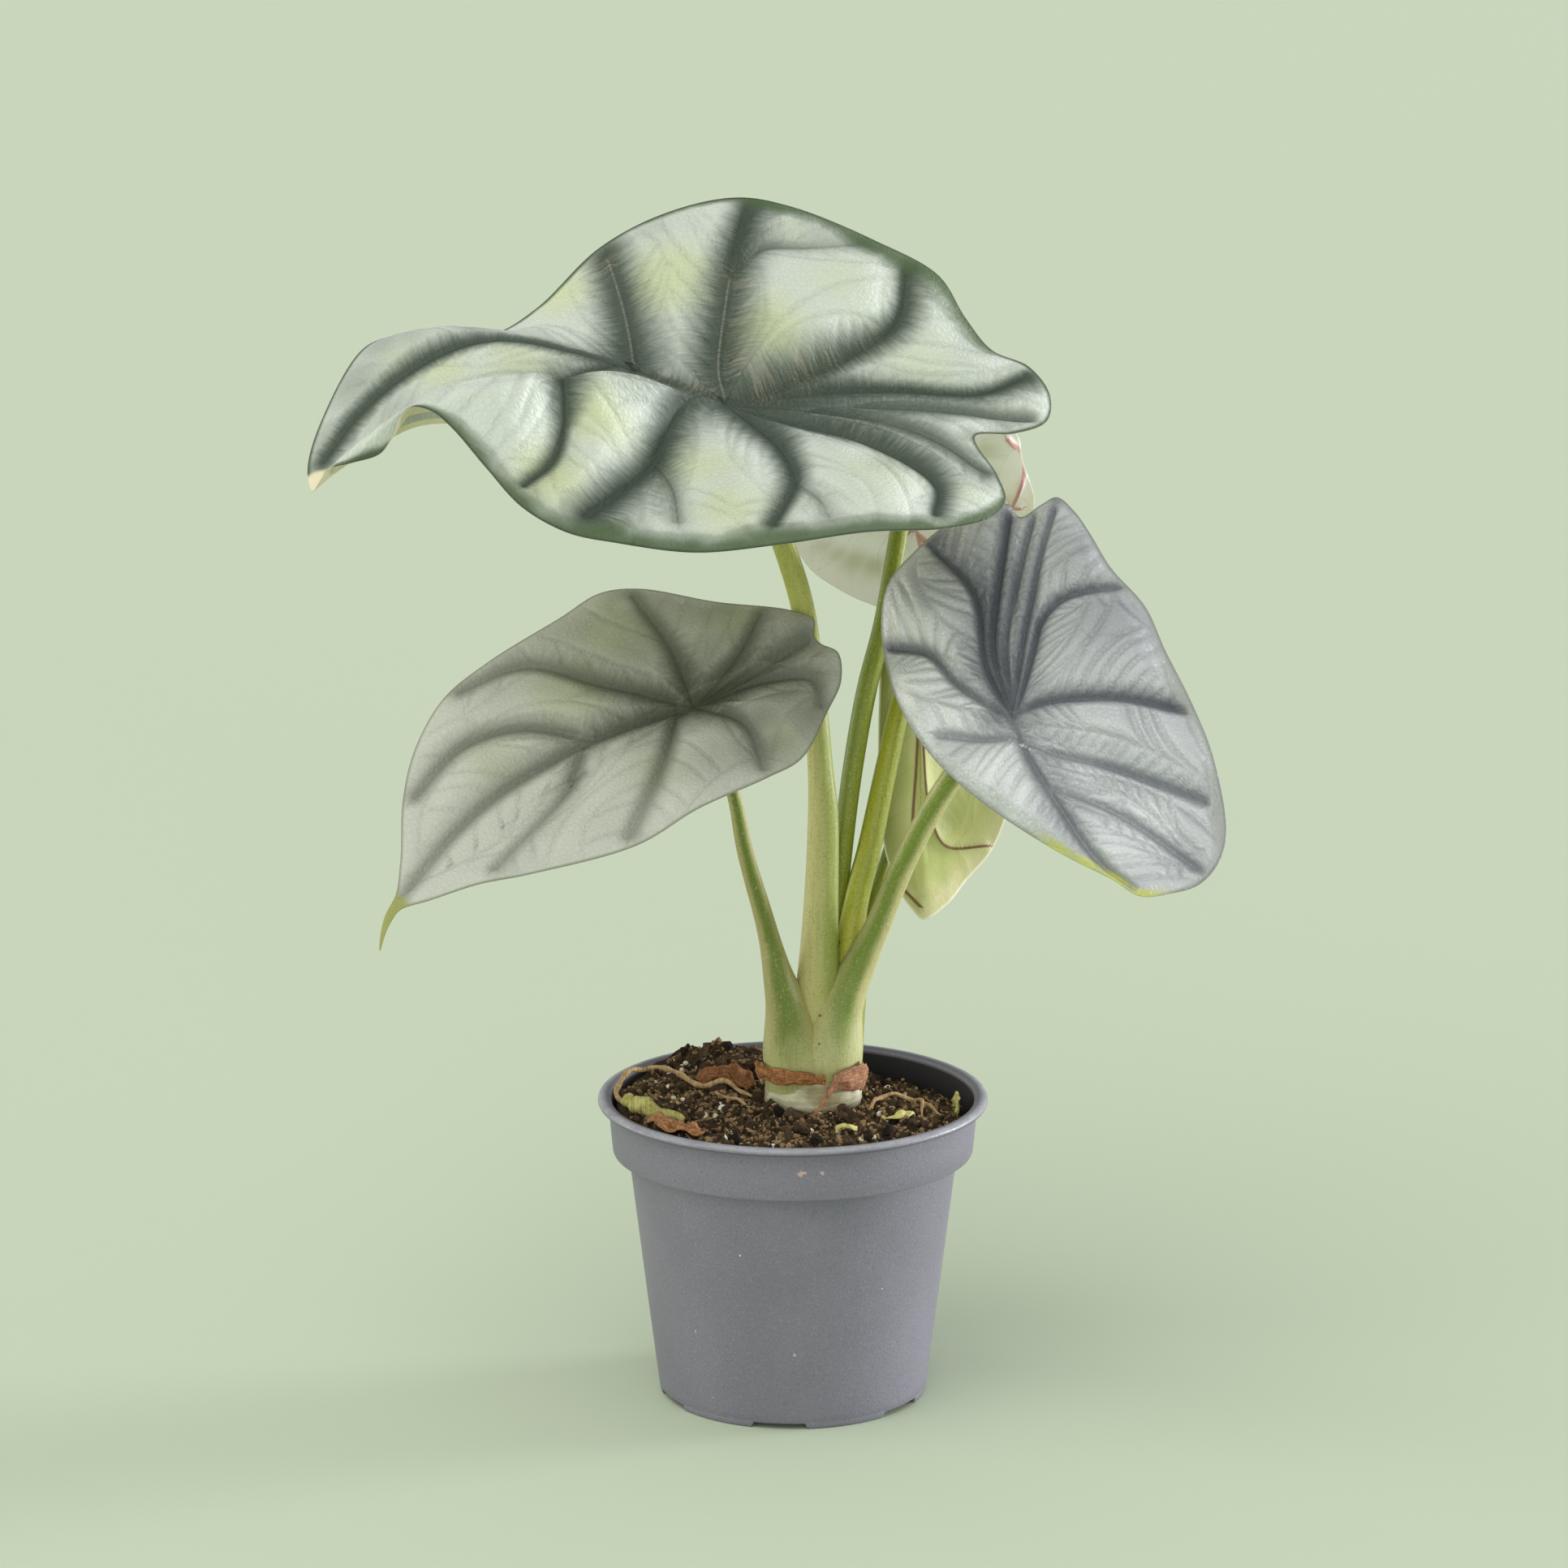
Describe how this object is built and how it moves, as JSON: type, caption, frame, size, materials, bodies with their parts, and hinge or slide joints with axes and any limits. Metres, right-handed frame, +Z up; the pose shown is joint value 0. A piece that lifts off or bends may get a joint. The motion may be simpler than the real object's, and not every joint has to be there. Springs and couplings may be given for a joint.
{
  "type": "potted silver dragon alocasia",
  "caption": "Potted alocasia with silver, dark-veined heart-shaped leaves on slender green stalks, rooted in a grey round nursery pot of soil.",
  "frame": {"origin": "centre of the pot's foot, on the surface that the pot stands on", "axes": "+Z up along the pot's axis and the plant, -Y towards the pictured front, +X to the right as pictured"},
  "size_m": [0.2726, 0.1544, 0.3631],
  "materials": {
    "pot": "fine-grained moulded grey plastic",
    "soil": "crumbly dark potting mix",
    "corm": "pale matt tuber skin",
    "blade_silver": "silver leaf with dark green vein bands",
    "blade_shaded": "grey-green leaf with olive vein bands",
    "blade_cool": "metallic silver leaf with slate vein bands",
    "blade_cream_back": "cream leaf back with pink veins",
    "blade_green_back": "yellow-green leaf back with brown veins",
    "stalk_green": "smooth green stalk",
    "stalk_dark": "smooth dark green stalk",
    "stalk_yellow": "smooth yellow-green stalk",
    "dry_sheath": "papery brown sheath",
    "dry_tan": "dry tan root",
    "dry_brown": "dry brown leaf scrap",
    "dry_yellow": "dry yellow-green scrap"
  },
  "bodies": {
    "root": {"pot": "pot", "soil": "soil", "corm": "corm", "blade_top": "blade_silver", "blade_left": "blade_shaded", "blade_right": "blade_cool", "blade_back_upper": "blade_cream_back", "blade_back_lower": "blade_green_back", "stalk_top": "stalk_green", "stalk_left": "stalk_green", "stalk_right": "stalk_green", "stalk_back_upper": "stalk_dark", "stalk_back_lower": "stalk_yellow", "young_shoot": "stalk_dark", "old_sheath_left": "dry_sheath", "old_sheath_right": "dry_sheath", "dry_root_left": "dry_tan", "dry_root_right": "dry_tan", "dry_leaf": "dry_brown", "bark_scrap": "dry_brown", "stalk_stub": "dry_yellow", "yellow_scrap": "dry_yellow"}
  },
  "joints": []
}
